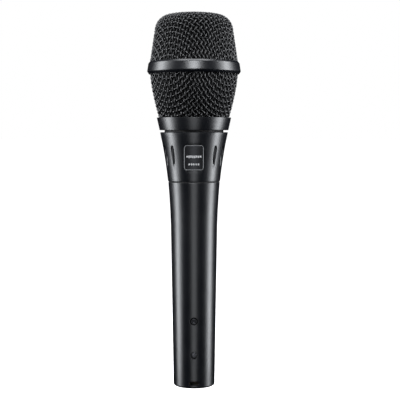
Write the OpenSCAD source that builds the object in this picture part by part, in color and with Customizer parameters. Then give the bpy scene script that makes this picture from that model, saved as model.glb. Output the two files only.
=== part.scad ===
// Handheld vocal microphone. Z runs up the axis from the centre of the tail face,
// and the nameplate looks towards -Y. All sizes are in millimetres.

/* [Handle] */
// Outer radius at the tail
tail_r = 11.1; // [10.9:0.1:11.4]
// Height of the handle's top face
handle_h = 109.55; // [108:0.05:110]
// Gain in radius per millimetre of height
handle_taper = 0.0154; // [0.014:0.0002:0.018]
// Height where the handle starts to flare
flare_from = 86; // [84:1:90]
// Strength of the flare
flare_gain = 0.0062; // [0.004:0.0002:0.007]
// Radius of the socket and the handle's bore
bore_r = 9.6; // [9.5:0.05:9.7]
// Radius of the threaded mouth at the handle's top
mouth_r = 11.6; // [11.4:0.1:11.8]
// Depth of the threaded mouth
mouth_depth = 8.6; // [8:0.1:9]

/* [Collar] */
// Height of the collar's top shoulder
shoulder_z = 136.1; // [135.5:0.1:136.5]
// Radius of the collar's bottom edge
collar_r = 13.94; // [13.8:0.02:14.1]
// Radius of the bore through the collar
collar_bore_r = 12.9; // [12.7:0.1:13]
// Radius of the neck that the grille screws onto
neck_r = 14.8; // [14.6:0.1:15]
// Height of the neck's top
neck_top_z = 143; // [142:0.1:143.2]
// Radius of the cutter that makes a port
port_r = 1.15; // [1:0.05:1.4]

/* [Nameplate] */
// Width of the nameplate
plate_w = 10.3; // [9:0.1:11]
// Height of the nameplate
plate_h = 13.1; // [12:0.1:14]
// Height of the nameplate's centre
plate_z = 122.8; // [122:0.1:124]
// Depth of the recess that it lies in
plate_recess = 0.5; // [0.4:0.05:0.7]

/* [Grille] */
// Largest radius, at the foot of the band
band_r = 24.85; // [24.5:0.05:25.2]
// Height of the foot of the band
band_z = 166.8; // [166:0.1:168]
// Height of the band
band_h = 6.6; // [6:0.1:7]
// Height of the top of the dome
dome_top_z = 199.35; // [199.2:0.05:200]
// Radius of the dome's rounded shoulder
dome_corner_r = 8.8; // [8.4:0.1:9.2]
// Lean of the dome's side from upright, in degrees
dome_lean = 8.5; // [7:0.5:10]
// Thickness of the woven mesh
mesh_t = 1.7; // [1.4:0.1:1.8]
// Thickness of the foam liner
foam_t = 2.4; // [2:0.1:2.6]

/* [Capsule] */
// Outer radius of the capsule housing
capsule_r = 10; // [9.8:0.1:10.2]
// Height of the foot of the capsule
capsule_z = 126; // [125.5:0.5:127]
// Height of the capsule housing
capsule_h = 28; // [27:0.5:29]

/* [Connector] */
// Height of the socket's floor
socket_floor_z = 13.4; // [13.4:0.1:13.8]
// Radius of a contact pin
pin_r = 1.19; // [1.15:0.01:1.22]
// Radius of the circle that the pins stand on
pin_circle_r = 3.96; // [3.9:0.02:4]

/* [Fasteners] */
// Height of the cross-head screw that holds the board frame
board_screw_z = 36; // [35:0.5:37]
// Radius of its shank
board_screw_r = 1; // [0.9:0.05:1.05]
// Height of the slotted screw that locks the socket insert
set_screw_z = 17.8; // [17.4:0.1:18.2]
// Radius of the slotted screw
set_screw_r = 1.45; // [1.3:0.05:1.45]

/* [Hidden] */
$fn = 96;

eps = 0.01;
fit_gap = 0.1;            // radial running clearance of a plain bearing or thread
small_fn = 32;            // segments on the small round pieces

// Handle
tail_edge_r = 0.9;        // rounding of the tail's outer edge
latch_w = 5.2;            // window for the plug's latch
latch_z = [1.7, 3.9];
screw_recess_r = 2.3;     // recess round the cross-head screw
screw_recess_y = -10.35;  // floor of that recess
set_hole_r = 1.85;        // hole that shows the slotted screw

// Collar
collar_z = 110.05;        // foot of the collar, above the seam washer
collar_h = shoulder_z - collar_z;
collar_slope = 0.105;     // gain in radius per millimetre at the foot
collar_curve = 0.0021;    // how fast that gain grows
spigot_r = mouth_r - fit_gap;
spigot_z = 102.05;
spigot_bore_r = 10.4;
plate_corner = 1;
recess_margin = 0.55;
port_count = 12;
port_first = 43.6;        // angle from the nameplate to the first port
port_pitch = (360 - 2 * port_first) / (port_count - 1);
port_axis_r = 15.95;
port_top_z = 129.2;
port_slot = 1;            // width of the slit through the wall

// Neck gasket and grille
ring_z = 137.2;           // foot of the base ring
ring_h = 6.7;
ring_foot_r = 18.5;
ring_top_r = 19.8;
ring_bore_r = neck_r + fit_gap;
mesh_seat_z = 142.4;      // where the lower mesh stands in the base ring
mesh_seat_gap = 0.05;     // round the mesh's foot in its seat
mesh_top_r = 23.4;        // mesh radius inside the band
mesh_drop = 4.95;         // how much narrower the mesh is at the base ring
mesh_power = 1.45;
mesh_join_z = 170.3;      // where the two meshes meet inside the band
dome_corner_x = 12.12;    // centre of the shoulder's round
dome_corner_z = 189.7;
crown_k = dome_corner_z - dome_top_z;
crown_r = (pow(dome_corner_x, 2) + pow(crown_k, 2) - pow(dome_corner_r, 2))
          / (-2 * dome_corner_r - 2 * crown_k);
crown_z = dome_top_z - crown_r;
crown_angle = atan2(dome_corner_z - crown_z, dome_corner_x);
foam_gap = 0.1;

// Connector
pin_shank_r = pin_r + 0.25;

// Shock mount and capsule
mount_z = [132, 141];
lip_h = 0.8;
lip_r = capsule_r + 0.7;
housing_wall = 0.8;
cap_z = capsule_z + capsule_h;

// Electronics
frame_r = bore_r - 0.15;
frame_z = [25, 96.8];
frame_wall = 1.2;
board_w = 15.6;
board_y = [0.5, 1.5];
board_z = [26, 96];
contact_z = [97, 101];    // insulating block under the spring contacts
ring_face_z = 103.9;      // underside of the contact rings
contact_radii = [0, 4.2, 7.8];
contact_sleeve_r = 0.9;
wire_r = 0.45;
lead_gap = 0.03;          // between a lead and what it is soldered to
contact_foot_z = 96.2;    // foot of the spring contacts' sleeves
contact_pads_x = [-4.5, 1.5, 5];

// Threaded travel of the two screws is along Y
board_screw_head_y = [-11.4, -10.6];
board_screw_tip_y = -7.2;
set_screw_y = [-11, -7.4];
pellet_y = [-7.4, -6.4];
screw_well_y = -4.2;      // inner end of the well that the slotted screw backs into

function handle_radius(z) =
    tail_r + handle_taper * z + flare_gain * pow(max(0, z - flare_from), 1.6);
function collar_radius(z) =
    collar_r + collar_slope * (z - collar_z) + collar_curve * pow(z - collar_z, 2);
function lower_mesh_radius(z) =
    mesh_top_r - mesh_drop * pow(max(0, band_z - z) / (band_z - mesh_seat_z), mesh_power);
function arc_points(x, z, r, a0, a1, steps) =
    [for (i = [0:steps]) let (a = a0 + (a1 - a0) * i / steps)
        [x + r * cos(a), z + r * sin(a)]];
// The dome's outline, moved inwards by inset, from height z0 up to the axis
function dome_outline(inset, z0) =
    let (r = dome_corner_r - inset,
         side_r = dome_corner_x + r * cos(dome_lean)
                  + (dome_corner_z + r * sin(dome_lean) - z0) * tan(dome_lean))
    concat([[side_r, z0]],
           arc_points(dome_corner_x, dome_corner_z, r, dome_lean, crown_angle, 9),
           arc_points(0, crown_z, crown_r - inset, crown_angle, 90, 5));
function reversed(list) = [for (i = [len(list) - 1:-1:0]) list[i]];

module tube(r_out, r_in, z0, z1) {
    difference() {
        translate([0, 0, z0]) cylinder(r = r_out, h = z1 - z0);
        translate([0, 0, z0 - 1]) cylinder(r = r_in, h = z1 - z0 + 2);
    }
}

// Cylinder along Y from y0 to y1 at height z
module rod_y(r, y0, y1, z, x = 0) {
    translate([x, y1, z]) rotate([90, 0, 0]) cylinder(r = r, h = y1 - y0, $fn = small_fn);
}

// A path with its corners cut twice, which rounds its bends
function corners_cut(path) =
    concat([path[0]],
           [for (i = [0:len(path) - 2], t = [0.25, 0.75])
               path[i] * (1 - t) + path[i + 1] * t],
           [path[len(path) - 1]]);
function unit(v) = v / norm(v);

// Round wire through a list of points, none of whose steps runs along Y
module wire(points, r) {
    sides = 8;
    path = corners_cut(corners_cut(points));
    last = len(path) - 1;
    rings = [for (i = [0:last])
        let (along = unit(path[min(i + 1, last)] - path[max(i - 1, 0)]),
             across = unit(cross(along, [0, 1, 0])),
             up = cross(across, along))
        for (k = [0:sides - 1])
            path[i] + r * (across * cos(k * 360 / sides) + up * sin(k * 360 / sides))];
    walls = [for (i = [0:last - 1], k = [0:sides - 1])
        let (a = i * sides, n = (k + 1) % sides)
        [a + k, a + n, a + sides + n, a + sides + k]];
    polyhedron(rings, concat(walls, [[for (k = [sides - 1:-1:0]) k]],
                             [[for (k = [0:sides - 1]) last * sides + k]]));
}

// Flat rounded rectangle, centred
module rounded_rect(w, h, corner) {
    square([w - 2 * corner, h], center = true);
    square([w, h - 2 * corner], center = true);
    for (x = [-1, 1], y = [-1, 1])
        translate([x * (w / 2 - corner), y * (h / 2 - corner)]) circle(r = corner, $fn = 24);
}

// Rounded rectangle pushed out towards -Y at the nameplate's height
module plate_prism(w, h, corner) {
    translate([0, 0, plate_z]) rotate([90, 0, 0])
        linear_extrude(height = 20) rounded_rect(w, h, corner);
}

// The collar's outline less a margin, as a solid
module collar_core(inset, z0, z1, steps = 8) {
    rotate_extrude()
        polygon(concat([[0, z0]],
            [for (i = [0:steps]) let (z = z0 + (z1 - z0) * i / steps)
                [collar_radius(z) - inset, z]],
            [[0, z1]]));
}

// ---- handle --------------------------------------------------------------

module handle() {
    steps = 14;
    color([0.2, 0.2, 0.21])
    difference() {
        rotate_extrude()
            polygon(concat([[bore_r, 0]],
                arc_points(tail_r - tail_edge_r, tail_edge_r, tail_edge_r, -90, 0, 4),
                [for (i = [1:steps]) let (z = tail_edge_r + (handle_h - tail_edge_r) * i / steps)
                    [handle_radius(z), z]],
                [[mouth_r, handle_h], [mouth_r, handle_h - mouth_depth],
                 [bore_r, handle_h - mouth_depth]]));
        rod_y(screw_recess_r, -15, screw_recess_y, board_screw_z);
        rod_y(board_screw_r + fit_gap, -12, -8, board_screw_z);
        rod_y(set_hole_r, -15, -8, set_screw_z);
        translate([-latch_w / 2, -15, latch_z[0]])
            cube([latch_w, 7, latch_z[1] - latch_z[0]]);
    }
}

// ---- connector -----------------------------------------------------------

module xlr_insert() {
    color([0.08, 0.08, 0.08])
    difference() {
        union() {
            translate([0, 0, socket_floor_z]) cylinder(r = bore_r - fit_gap, h = 8.1);
            translate([0, 0, socket_floor_z + 8]) cylinder(r = 6.4, h = 1.4);
        }
        rod_y(set_screw_r + 0.05, -12, screw_well_y, set_screw_z);
        for (p = pin_places()) translate([p[0], p[1], 10])
            cylinder(r = pin_shank_r, h = 20, $fn = small_fn);
        translate([-1.3, 7.6, socket_floor_z - 1]) cube([2.6, 3, 10]);
    }
}

function pin_places() =
    [for (a = [0, 180, 90]) [pin_circle_r * cos(a), pin_circle_r * sin(a)]];

// Round-nosed pin with a thicker shank and a solder cup at its inner end
module xlr_pin(i) {
    nose_z = 0.9;
    cup_z = [22.8, 25.6];
    color([0.85, 0.7, 0.4])
    translate([pin_places()[i][0], pin_places()[i][1], 0])
    difference() {
        union() {
            translate([0, 0, nose_z + pin_r]) sphere(r = pin_r, $fn = small_fn);
            translate([0, 0, nose_z + pin_r])
                cylinder(r = pin_r, h = socket_floor_z - nose_z - pin_r, $fn = small_fn);
            translate([0, 0, socket_floor_z])
                cylinder(r = pin_shank_r, h = cup_z[1] - socket_floor_z, $fn = small_fn);
        }
        translate([0, 0, cup_z[0]]) cylinder(r = pin_shank_r - 0.5, h = 4, $fn = small_fn);
    }
}
module xlr_pin_1() { xlr_pin(0); }
module xlr_pin_2() { xlr_pin(1); }
module xlr_pin_3() { xlr_pin(2); }

// ---- preamplifier --------------------------------------------------------

// Sled with two side rails, an end disc at each end and a screw boss
module board_frame() {
    boss_w = 6;
    boss_z = [board_screw_z - 3.5, board_screw_z + 3.5];
    color([0.12, 0.12, 0.13])
    difference() {
        union() {
            for (side = [-1, 1]) intersection() {
                tube(frame_r, frame_r - frame_wall, frame_z[0], frame_z[1]);
                translate([side > 0 ? 6.2 : -16.2, -10, frame_z[0]])
                    cube([10, 20, frame_z[1] - frame_z[0]]);
            }
            tube(frame_r, 6.2, frame_z[0], frame_z[0] + 2);
            tube(frame_r, 6.2, frame_z[1] - 2, frame_z[1]);
            tube(frame_r, frame_r - frame_wall, boss_z[0], boss_z[1]);
            intersection() {
                translate([-boss_w / 2, -frame_r, boss_z[0]])
                    cube([boss_w, 2, boss_z[1] - boss_z[0]]);
                cylinder(r = frame_r, h = 60);
            }
        }
        rod_y(board_screw_r + 0.05, -12, -6, board_screw_z);
        board_blank();
        outer_contact_slot();
    }
}

// Room in the sled's upper disc for the outermost contact and its lead
module outer_contact_slot() {
    slot_r = contact_sleeve_r + 0.2;
    slot_z = [frame_z[1] - 3, frame_z[1] + 1];
    translate([contact_radii[2], 0, slot_z[0]])
        cylinder(r = slot_r, h = slot_z[1] - slot_z[0], $fn = small_fn);
    translate([contact_pads_x[2] - 1, -slot_r, slot_z[0]])
        cube([contact_radii[2] - contact_pads_x[2] + 1, 2 * slot_r, slot_z[1] - slot_z[0]]);
}

module board_blank() {
    translate([-board_w / 2, board_y[0], board_z[0]])
        cube([board_w, board_y[1] - board_y[0], board_z[1] - board_z[0]]);
}

module preamp_board() {
    color([0.05, 0.25, 0.14])
    difference() {
        board_blank();
        for (x = [-6.3, 6.3], z = [45, 78]) rod_y(0.7, 0, 2, z, x);
    }
}

// Electrolytic cans lying along Z on the board's front
module board_capacitors() {
    can_r = 2.4;
    color([0.12, 0.14, 0.3])
    for (at = [[-4.6, 42, 8], [4.6, 42, 8], [-4.6, 70, 10]])
        translate([at[0], board_y[0] - can_r, at[1]]) {
            cylinder(r = can_r, h = at[2], $fn = small_fn);
            translate([0, 0, -0.6]) cylinder(r = can_r - 0.4, h = 0.6, $fn = small_fn);
        }
}

// Half-round transistor bodies standing off the board's front
module board_transistors() {
    body_r = 2.3;
    color([0.07, 0.07, 0.07])
    for (at = [[4.4, 62], [4.4, 72], [-4.4, 60], [0, 88]])
        translate([at[0], board_y[0] - 4.4, at[1]]) rotate([-90, 0, 0])
            difference() {
                cylinder(r = body_r, h = 4.4, $fn = small_fn);
                translate([-5, body_r * 0.55, -1]) cube([10, 5, 7]);
            }
}

// Resistor bodies with their leads, on the board's back
module board_resistors() {
    body_r = 0.9;
    color([0.75, 0.68, 0.5])
    for (x = [-4.5, 0, 4.5], z = [46, 56, 66, 76])
        translate([x, board_y[1] + body_r, z]) {
            cylinder(r = body_r, h = 3.6, $fn = small_fn);
            translate([0, 0, -1.2]) cylinder(r = 0.3, h = 6, $fn = 16);
        }
}

module contact_block() {
    color([0.1, 0.1, 0.1])
    difference() {
        translate([0, 0, contact_z[0]])
            cylinder(r = frame_r, h = contact_z[1] - contact_z[0] - 0.05);
        for (r = contact_radii)
            translate([r, 0, 90]) cylinder(r = contact_sleeve_r, h = 20, $fn = small_fn);
    }
}

// Sleeved spring contacts, one for each ring of the contact board
module spring_contacts() {
    plunger_gap = 0.1;
    sleeve_h = 5.4;
    color([0.85, 0.68, 0.35])
    for (r = contact_radii) translate([r, 0, 0]) {
        translate([0, 0, contact_foot_z])
            cylinder(r = contact_sleeve_r, h = sleeve_h, $fn = small_fn);
        translate([0, 0, contact_foot_z + sleeve_h - eps])
            cylinder(r = 0.5, h = ring_face_z - plunger_gap - contact_foot_z - sleeve_h + eps,
                     $fn = small_fn);
    }
}

// One lead from each pin's solder cup to the foot of the board, lying against it
module connector_leads() {
    front_y = board_y[0] - wire_r - lead_gap;
    back_y = board_y[1] + wire_r + lead_gap;
    color([0.6, 0.12, 0.1])
    for (p = pin_places()) {
        y = p[1] > 1 ? back_y : front_y;
        wire([[p[0], p[1], 23.2], [p[0], p[1], 27], [p[0], y, 30], [p[0], y, 33]], wire_r);
    }
}

// One lead from each spring contact to the head of the board, lying against it
module contact_leads() {
    r = wire_r - 0.1;
    y = board_y[0] - r - lead_gap;
    color([0.15, 0.2, 0.6])
    for (i = [0:2])
        wire([[contact_radii[i], 0, contact_foot_z - lead_gap], [contact_radii[i], 0, 95.6],
              [contact_pads_x[i], y, 93.8], [contact_pads_x[i], y, 91.4]], r);
}

// ---- fasteners -----------------------------------------------------------

module board_screw() {
    recess = 0.55;
    arm = [2.1, 0.5];
    color([0.4, 0.4, 0.42])
    difference() {
        union() {
            rod_y(1.55, board_screw_head_y[0], board_screw_head_y[1], board_screw_z);
            rod_y(board_screw_r, board_screw_head_y[1] - eps, board_screw_tip_y, board_screw_z);
        }
        for (a = [45, 135])
            translate([0, board_screw_head_y[0] + recess / 2 - 0.5, board_screw_z])
                rotate([0, a, 0]) cube([arm[0], recess + 1, arm[1]], center = true);
    }
}

module board_screw_washer() {
    color([0.5, 0.5, 0.52])
    difference() {
        rod_y(2, board_screw_head_y[1], screw_recess_y, board_screw_z);
        rod_y(board_screw_r + fit_gap, -12, -8, board_screw_z);
    }
}

module set_screw() {
    slot = 0.55;
    color([0.35, 0.35, 0.37])
    difference() {
        rod_y(set_screw_r, set_screw_y[0], set_screw_y[1], set_screw_z);
        translate([0, set_screw_y[0], set_screw_z]) rotate([0, -40, 0])
            cube([5, 1.4, slot], center = true);
    }
}

module lock_pellet() {
    color([0.9, 0.9, 0.85])
    rod_y(set_screw_r - 0.1, pellet_y[0], pellet_y[1], set_screw_z);
}

// ---- collar --------------------------------------------------------------

module seam_washer() {
    color([0.05, 0.05, 0.05])
    tube(13.6, mouth_r, handle_h, collar_z);
}

module collar() {
    steps = 9;
    edge = 0.3;
    color([0.2, 0.2, 0.21])
    difference() {
        rotate_extrude()
            polygon(concat(
                [[spigot_bore_r, spigot_z], [spigot_r - 0.4, spigot_z], [spigot_r, spigot_z + 0.4],
                 [spigot_r, collar_z]],
                [for (i = [0:steps]) let (z = collar_z + (collar_h - edge) * i / steps)
                    [collar_radius(z), z]],
                [[collar_radius(shoulder_z) - edge, shoulder_z], [neck_r, shoulder_z],
                 [neck_r, neck_top_z - 0.4], [neck_r - 0.4, neck_top_z],
                 [collar_bore_r, neck_top_z], [collar_bore_r, 115.5], [spigot_bore_r, 108]]));
        intersection() {
            plate_prism(plate_w + 2 * recess_margin, plate_h + 2 * recess_margin,
                        plate_corner + recess_margin);
            difference() {
                cylinder(r = 30, h = 140);
                collar_core(plate_recess, 112, 133);
            }
        }
        for (i = [0:port_count - 1]) rotate([0, 0, port_first + i * port_pitch - 90]) port();
    }
}

// A vertical ball-ended scoop with a slit through to the bore
module port() {
    slit_z = [119.6, 127.4];
    translate([port_axis_r, 0, 100])
        cylinder(r = port_r, h = port_top_z - port_r - 100, $fn = small_fn);
    translate([port_axis_r, 0, port_top_z - port_r]) sphere(r = port_r, $fn = small_fn);
    translate([11, -port_slot / 2, slit_z[0]]) cube([4.5, port_slot, slit_z[1] - slit_z[0]]);
}

module nameplate() {
    plate_t = 0.4;
    color([0.35, 0.35, 0.37])
    intersection() {
        plate_prism(plate_w, plate_h, plate_corner);
        difference() {
            collar_core(plate_recess - plate_t, 113, 132);
            collar_core(plate_recess, 112, 133);
        }
    }
}

module port_screen() {
    color([0.05, 0.05, 0.05])
    tube(collar_bore_r - 0.05, collar_bore_r - 0.4, 116, 131);
}

// Rubber ring with a hollow web between its two rims
module shock_mount() {
    rim = 0.8;
    web = 2.4;
    middle = (mount_z[0] + mount_z[1]) / 2;
    color([0.1, 0.1, 0.1])
    difference() {
        tube(collar_bore_r, capsule_r, mount_z[0], mount_z[1]);
        for (side = [-1, 1]) rotate_extrude()
            polygon([[capsule_r + rim, middle + side * 6], [collar_bore_r - rim, middle + side * 6],
                     [collar_bore_r - rim - 0.3, middle + side * web / 2],
                     [capsule_r + rim + 0.3, middle + side * web / 2]]);
    }
}

module contact_board() {
    color([0.05, 0.25, 0.14])
    difference() {
        translate([0, 0, ring_face_z + 0.1]) cylinder(r = spigot_bore_r, h = 1.1);
        for (x = [-2.5, 0, 2.5]) translate([x, 6, 100]) cylinder(r = 0.5, h = 8, $fn = 16);
    }
}

// Three concentric contact faces under the contact board
module contact_rings() {
    land = 1.1;
    color([0.85, 0.68, 0.35]) {
        translate([0, 0, ring_face_z]) cylinder(r = land, h = 0.1, $fn = small_fn);
        for (i = [1, 2])
            tube(contact_radii[i] + land, contact_radii[i] - land, ring_face_z, ring_face_z + 0.1);
    }
}

// Split ring that holds the contact board in the spigot
module board_retainer() {
    color([0.5, 0.5, 0.52])
    difference() {
        tube(spigot_bore_r, spigot_bore_r - 1.2, ring_face_z + 1.2, ring_face_z + 2.1);
        translate([-1.5, -12, 100]) cube([3, 6, 10]);
    }
}

// Leads from the contact board up to the foot of the capsule
module capsule_leads() {
    color([0.75, 0.7, 0.62])
    for (x = [-2.5, 0, 2.5])
        wire([[x, 6, ring_face_z + 1.2 + lead_gap], [x, 6, 108], [1.4 * x, 7.4, 113], [1.4 * x, 6.6, 120],
              [x, 4.5, 123.5], [x, 4.5, capsule_z - lead_gap]], 0.4);
}

// ---- capsule -------------------------------------------------------------

module capsule_housing() {
    vents = 12;
    color([0.55, 0.55, 0.56])
    difference() {
        union() {
            translate([0, 0, capsule_z]) cylinder(r = capsule_r, h = capsule_h);
            translate([0, 0, mount_z[0] - lip_h]) cylinder(r = lip_r, h = lip_h);
            translate([0, 0, mount_z[1]]) cylinder(r = lip_r, h = lip_h);
        }
        translate([0, 0, capsule_z + 1]) cylinder(r = capsule_r - housing_wall, h = capsule_h);
        for (i = [0:vents - 1]) rotate([0, 0, i * 360 / vents])
            translate([0, -0.6, capsule_z + 2]) cube([15, 1.2, 2.4]);
    }
}

module capsule_cap() {
    color([0.6, 0.6, 0.62])
    difference() {
        translate([0, 0, cap_z]) cylinder(r = capsule_r, h = 1.6);
        translate([0, 0, cap_z - 1]) cylinder(r = capsule_r - housing_wall, h = 1.8);
        translate([0, 0, cap_z]) cylinder(r = 0.9, h = 3, $fn = small_fn);
        for (ring = [1:3], i = [0:ring * 6 - 1])
            rotate([0, 0, i * 60 / ring]) translate([ring * 2.6, 0, cap_z])
                cylinder(r = 0.9, h = 3, $fn = small_fn);
    }
}

// Disc or ring of the capsule's inner stack, from height z up
module stack_ring(r_in, z, h) {
    r = capsule_r - housing_wall;
    if (r_in > 0) tube(r, r_in, z, z + h);
    else translate([0, 0, z]) cylinder(r = r, h = h);
}
module capsule_screen() { color([0.15, 0.15, 0.15]) stack_ring(0, cap_z - 0.4, 0.4); }
module diaphragm_ring() { color([0.8, 0.72, 0.45]) stack_ring(7.6, cap_z - 2.2, 1.6); }
module diaphragm() { color([0.85, 0.85, 0.8]) stack_ring(0, cap_z - 2.3, 0.1); }
module diaphragm_spacer() { color([0.9, 0.9, 0.9]) stack_ring(7.9, cap_z - 2.5, 0.2); }

module backplate() {
    color([0.8, 0.72, 0.45])
    difference() {
        translate([0, 0, cap_z - 4.2]) cylinder(r = 7.8, h = 1.6);
        for (ring = [1:2], i = [0:ring * 6 - 1])
            rotate([0, 0, i * 60 / ring]) translate([ring * 2.9, 0, cap_z - 5])
                cylinder(r = 0.6, h = 3, $fn = small_fn);
    }
}

// Cup that carries the backplate, with a hole for its contact
module backplate_insulator() {
    color([0.85, 0.85, 0.82])
    difference() {
        stack_ring(0, cap_z - 6.5, 4);
        translate([0, 0, cap_z - 4.2]) cylinder(r = 7.8, h = 3);
        translate([0, 0, cap_z - 8]) cylinder(r = 1.2, h = 5, $fn = small_fn);
    }
}

module capsule_board() {
    color([0.05, 0.25, 0.14])
    difference() {
        stack_ring(0, mount_z[0] + 1, 1);
        for (x = [-2.5, 2.5]) translate([x, 0, 130]) cylinder(r = 0.5, h = 6, $fn = 16);
    }
}

// Input transistor and bias resistor on the capsule board
module capsule_parts() {
    top = mount_z[0] + 2;
    color([0.07, 0.07, 0.07]) {
        translate([0, 3, top]) cylinder(r = 2.2, h = 4, $fn = small_fn);
        translate([-3.6, -3.4, top]) cube([7.2, 2.2, 2.2]);
    }
}

// ---- grille --------------------------------------------------------------

module neck_gasket() {
    color([0.05, 0.05, 0.05])
    tube(15.7, ring_bore_r, shoulder_z, ring_z);
}

module base_ring() {
    top = ring_z + ring_h;
    edge = 0.35;
    color([0.2, 0.2, 0.21])
    rotate_extrude()
        polygon([[ring_bore_r, ring_z], [ring_foot_r - edge, ring_z], [ring_foot_r, ring_z + edge],
                 [ring_top_r, top - edge], [ring_top_r - edge, top],
                 [lower_mesh_radius(top) + mesh_seat_gap, top],
                 [lower_mesh_radius(mesh_seat_z) + mesh_seat_gap, mesh_seat_z],
                 [ring_bore_r, mesh_seat_z]]);
}

// Stands for the woven wire basket below the band
module lower_mesh() {
    steps = 8;
    outer = concat([for (i = [0:steps]) let (z = mesh_seat_z + (band_z - mesh_seat_z) * i / steps)
                       [lower_mesh_radius(z), z]],
                   [[mesh_top_r, mesh_join_z - eps]]);
    color([0.1, 0.1, 0.1])
    rotate_extrude()
        polygon(concat(outer, reversed([for (p = outer) p - [mesh_t, 0]])));
}

module band() {
    top = band_z + band_h;
    color([0.45, 0.45, 0.46])
    rotate_extrude()
        polygon([[mesh_top_r, band_z], [mesh_top_r + 0.5, band_z], [band_r, band_z + 1.3],
                 [band_r, band_z + 1.65], [band_r - 0.6, top - 1], [band_r - 1.05, top - 0.4],
                 [mesh_top_r + 0.1, top], [mesh_top_r, top - 0.3]]);
}

module band_inner_ring() {
    r = mesh_top_r - mesh_t - 0.25;
    color([0.3, 0.3, 0.3])
    tube(r, r - 1, band_z - 0.3, band_z + band_h + 0.1);
}

// Stands for the woven wire dome above the band
module upper_mesh() {
    side = dome_outline(0, band_z + band_h);
    color([0.1, 0.1, 0.1])
    rotate_extrude()
        polygon(concat([[mesh_top_r - mesh_t, mesh_join_z], [mesh_top_r, mesh_join_z],
                        [mesh_top_r, band_z + band_h - 0.3]],
                       side, reversed(dome_outline(mesh_t, band_z + band_h))));
}

module lower_foam() {
    steps = 5;
    z0 = neck_top_z + foam_gap;
    z1 = band_z - 0.5;
    gap = mesh_t + foam_gap;
    outer = [for (i = [0:steps]) let (z = z0 + (z1 - z0) * i / steps)
                [lower_mesh_radius(z) - gap, z]];
    color([0.07, 0.07, 0.07])
    rotate_extrude()
        polygon(concat(outer, reversed([for (p = outer) p - [foam_t, 0]])));
}

module upper_foam() {
    z0 = band_z + band_h + 0.4;
    gap = mesh_t + foam_gap;
    color([0.07, 0.07, 0.07])
    rotate_extrude()
        polygon(concat(dome_outline(gap, z0), reversed(dome_outline(gap + foam_t, z0))));
}

handle();
xlr_insert();
xlr_pin_1();
xlr_pin_2();
xlr_pin_3();
board_frame();
preamp_board();
board_capacitors();
board_transistors();
board_resistors();
contact_block();
spring_contacts();
connector_leads();
contact_leads();
board_screw();
board_screw_washer();
set_screw();
lock_pellet();
seam_washer();
collar();
nameplate();
port_screen();
shock_mount();
contact_board();
contact_rings();
board_retainer();
capsule_leads();
capsule_housing();
capsule_cap();
capsule_screen();
diaphragm_ring();
diaphragm();
diaphragm_spacer();
backplate();
backplate_insulator();
capsule_board();
capsule_parts();
neck_gasket();
base_ring();
lower_mesh();
band();
band_inner_ring();
upper_mesh();
lower_foam();
upper_foam();
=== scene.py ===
"""Handheld vocal microphone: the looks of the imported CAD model.

Lengths are in metres, in the CAD frame: +Z up the axis, the nameplate towards -Y.
"""
import math

import bmesh
import bpy
import numpy as np
from mathutils import Matrix, Vector


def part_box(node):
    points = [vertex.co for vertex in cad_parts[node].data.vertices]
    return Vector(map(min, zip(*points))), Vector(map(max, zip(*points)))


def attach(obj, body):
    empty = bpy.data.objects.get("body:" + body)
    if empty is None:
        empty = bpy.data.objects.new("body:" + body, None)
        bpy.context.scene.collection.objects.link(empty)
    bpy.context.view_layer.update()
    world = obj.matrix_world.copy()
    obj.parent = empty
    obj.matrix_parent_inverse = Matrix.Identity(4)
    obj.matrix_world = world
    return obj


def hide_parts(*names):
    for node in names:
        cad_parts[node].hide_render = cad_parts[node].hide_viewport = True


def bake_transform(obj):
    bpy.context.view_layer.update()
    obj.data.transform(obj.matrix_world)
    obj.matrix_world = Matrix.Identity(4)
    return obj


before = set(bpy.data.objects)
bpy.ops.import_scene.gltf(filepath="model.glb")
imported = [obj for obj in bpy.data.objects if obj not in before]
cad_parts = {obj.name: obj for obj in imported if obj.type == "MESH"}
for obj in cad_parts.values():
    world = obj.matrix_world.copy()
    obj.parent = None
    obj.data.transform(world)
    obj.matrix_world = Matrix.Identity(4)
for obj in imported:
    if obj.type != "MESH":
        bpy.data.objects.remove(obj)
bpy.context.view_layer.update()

MM = 0.001
LATHE_SIDES = 240
ROD_SIDES = 64
SMOOTH_ANGLE = math.radians(32)
BEVEL_ANGLE = math.radians(40)      # for the small parts
SHELL_ANGLE = math.radians(45)      # for the handle and the collar
SHELL_BEVEL = 0.1 * MM
EDGE = 0.25 * MM                    # rounding drawn into the shells' own outlines

# The woven wire: its lift over and under the next wire, the distance between wires, the
# length of a step along a wire, and how far a wire's place and wave stray at random
WIRE_R = 0.42 * MM
WIRE_LIFT = 0.54 * MM
WIRE_PITCH = 2.14 * MM
WIRE_SIDES = 8
WIRE_STEP = 0.55 * MM
WIRE_JITTER = 0.05 * MM
PHASE_JITTER = 0.08
WEAVE_DEPTH = WIRE_R + WIRE_LIFT    # from the crests to the weave's middle
UPPER_TURN = math.radians(-35)      # of each weave about the axis
LOWER_TURN = math.radians(-38)

# The foam's surface: the grid it is rebuilt on, and the depth of its pits
FOAM_GRID = 0.55 * MM
FOAM_PITS = 0.28 * MM

# Threads: pitch as the couplings state, and the ridge's depth, half widths and foot
THREAD_PITCH = 1.0 * MM
THREAD_DEPTH = 0.35 * MM
THREAD_ROOT = 0.42 * THREAD_PITCH
THREAD_CREST = 0.2 * THREAD_ROOT
THREAD_SINK = 0.03 * MM
THREAD_STEPS = 96                   # in one turn
THREAD_FADE = 24                    # steps over which the ridge rises at each end

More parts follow.
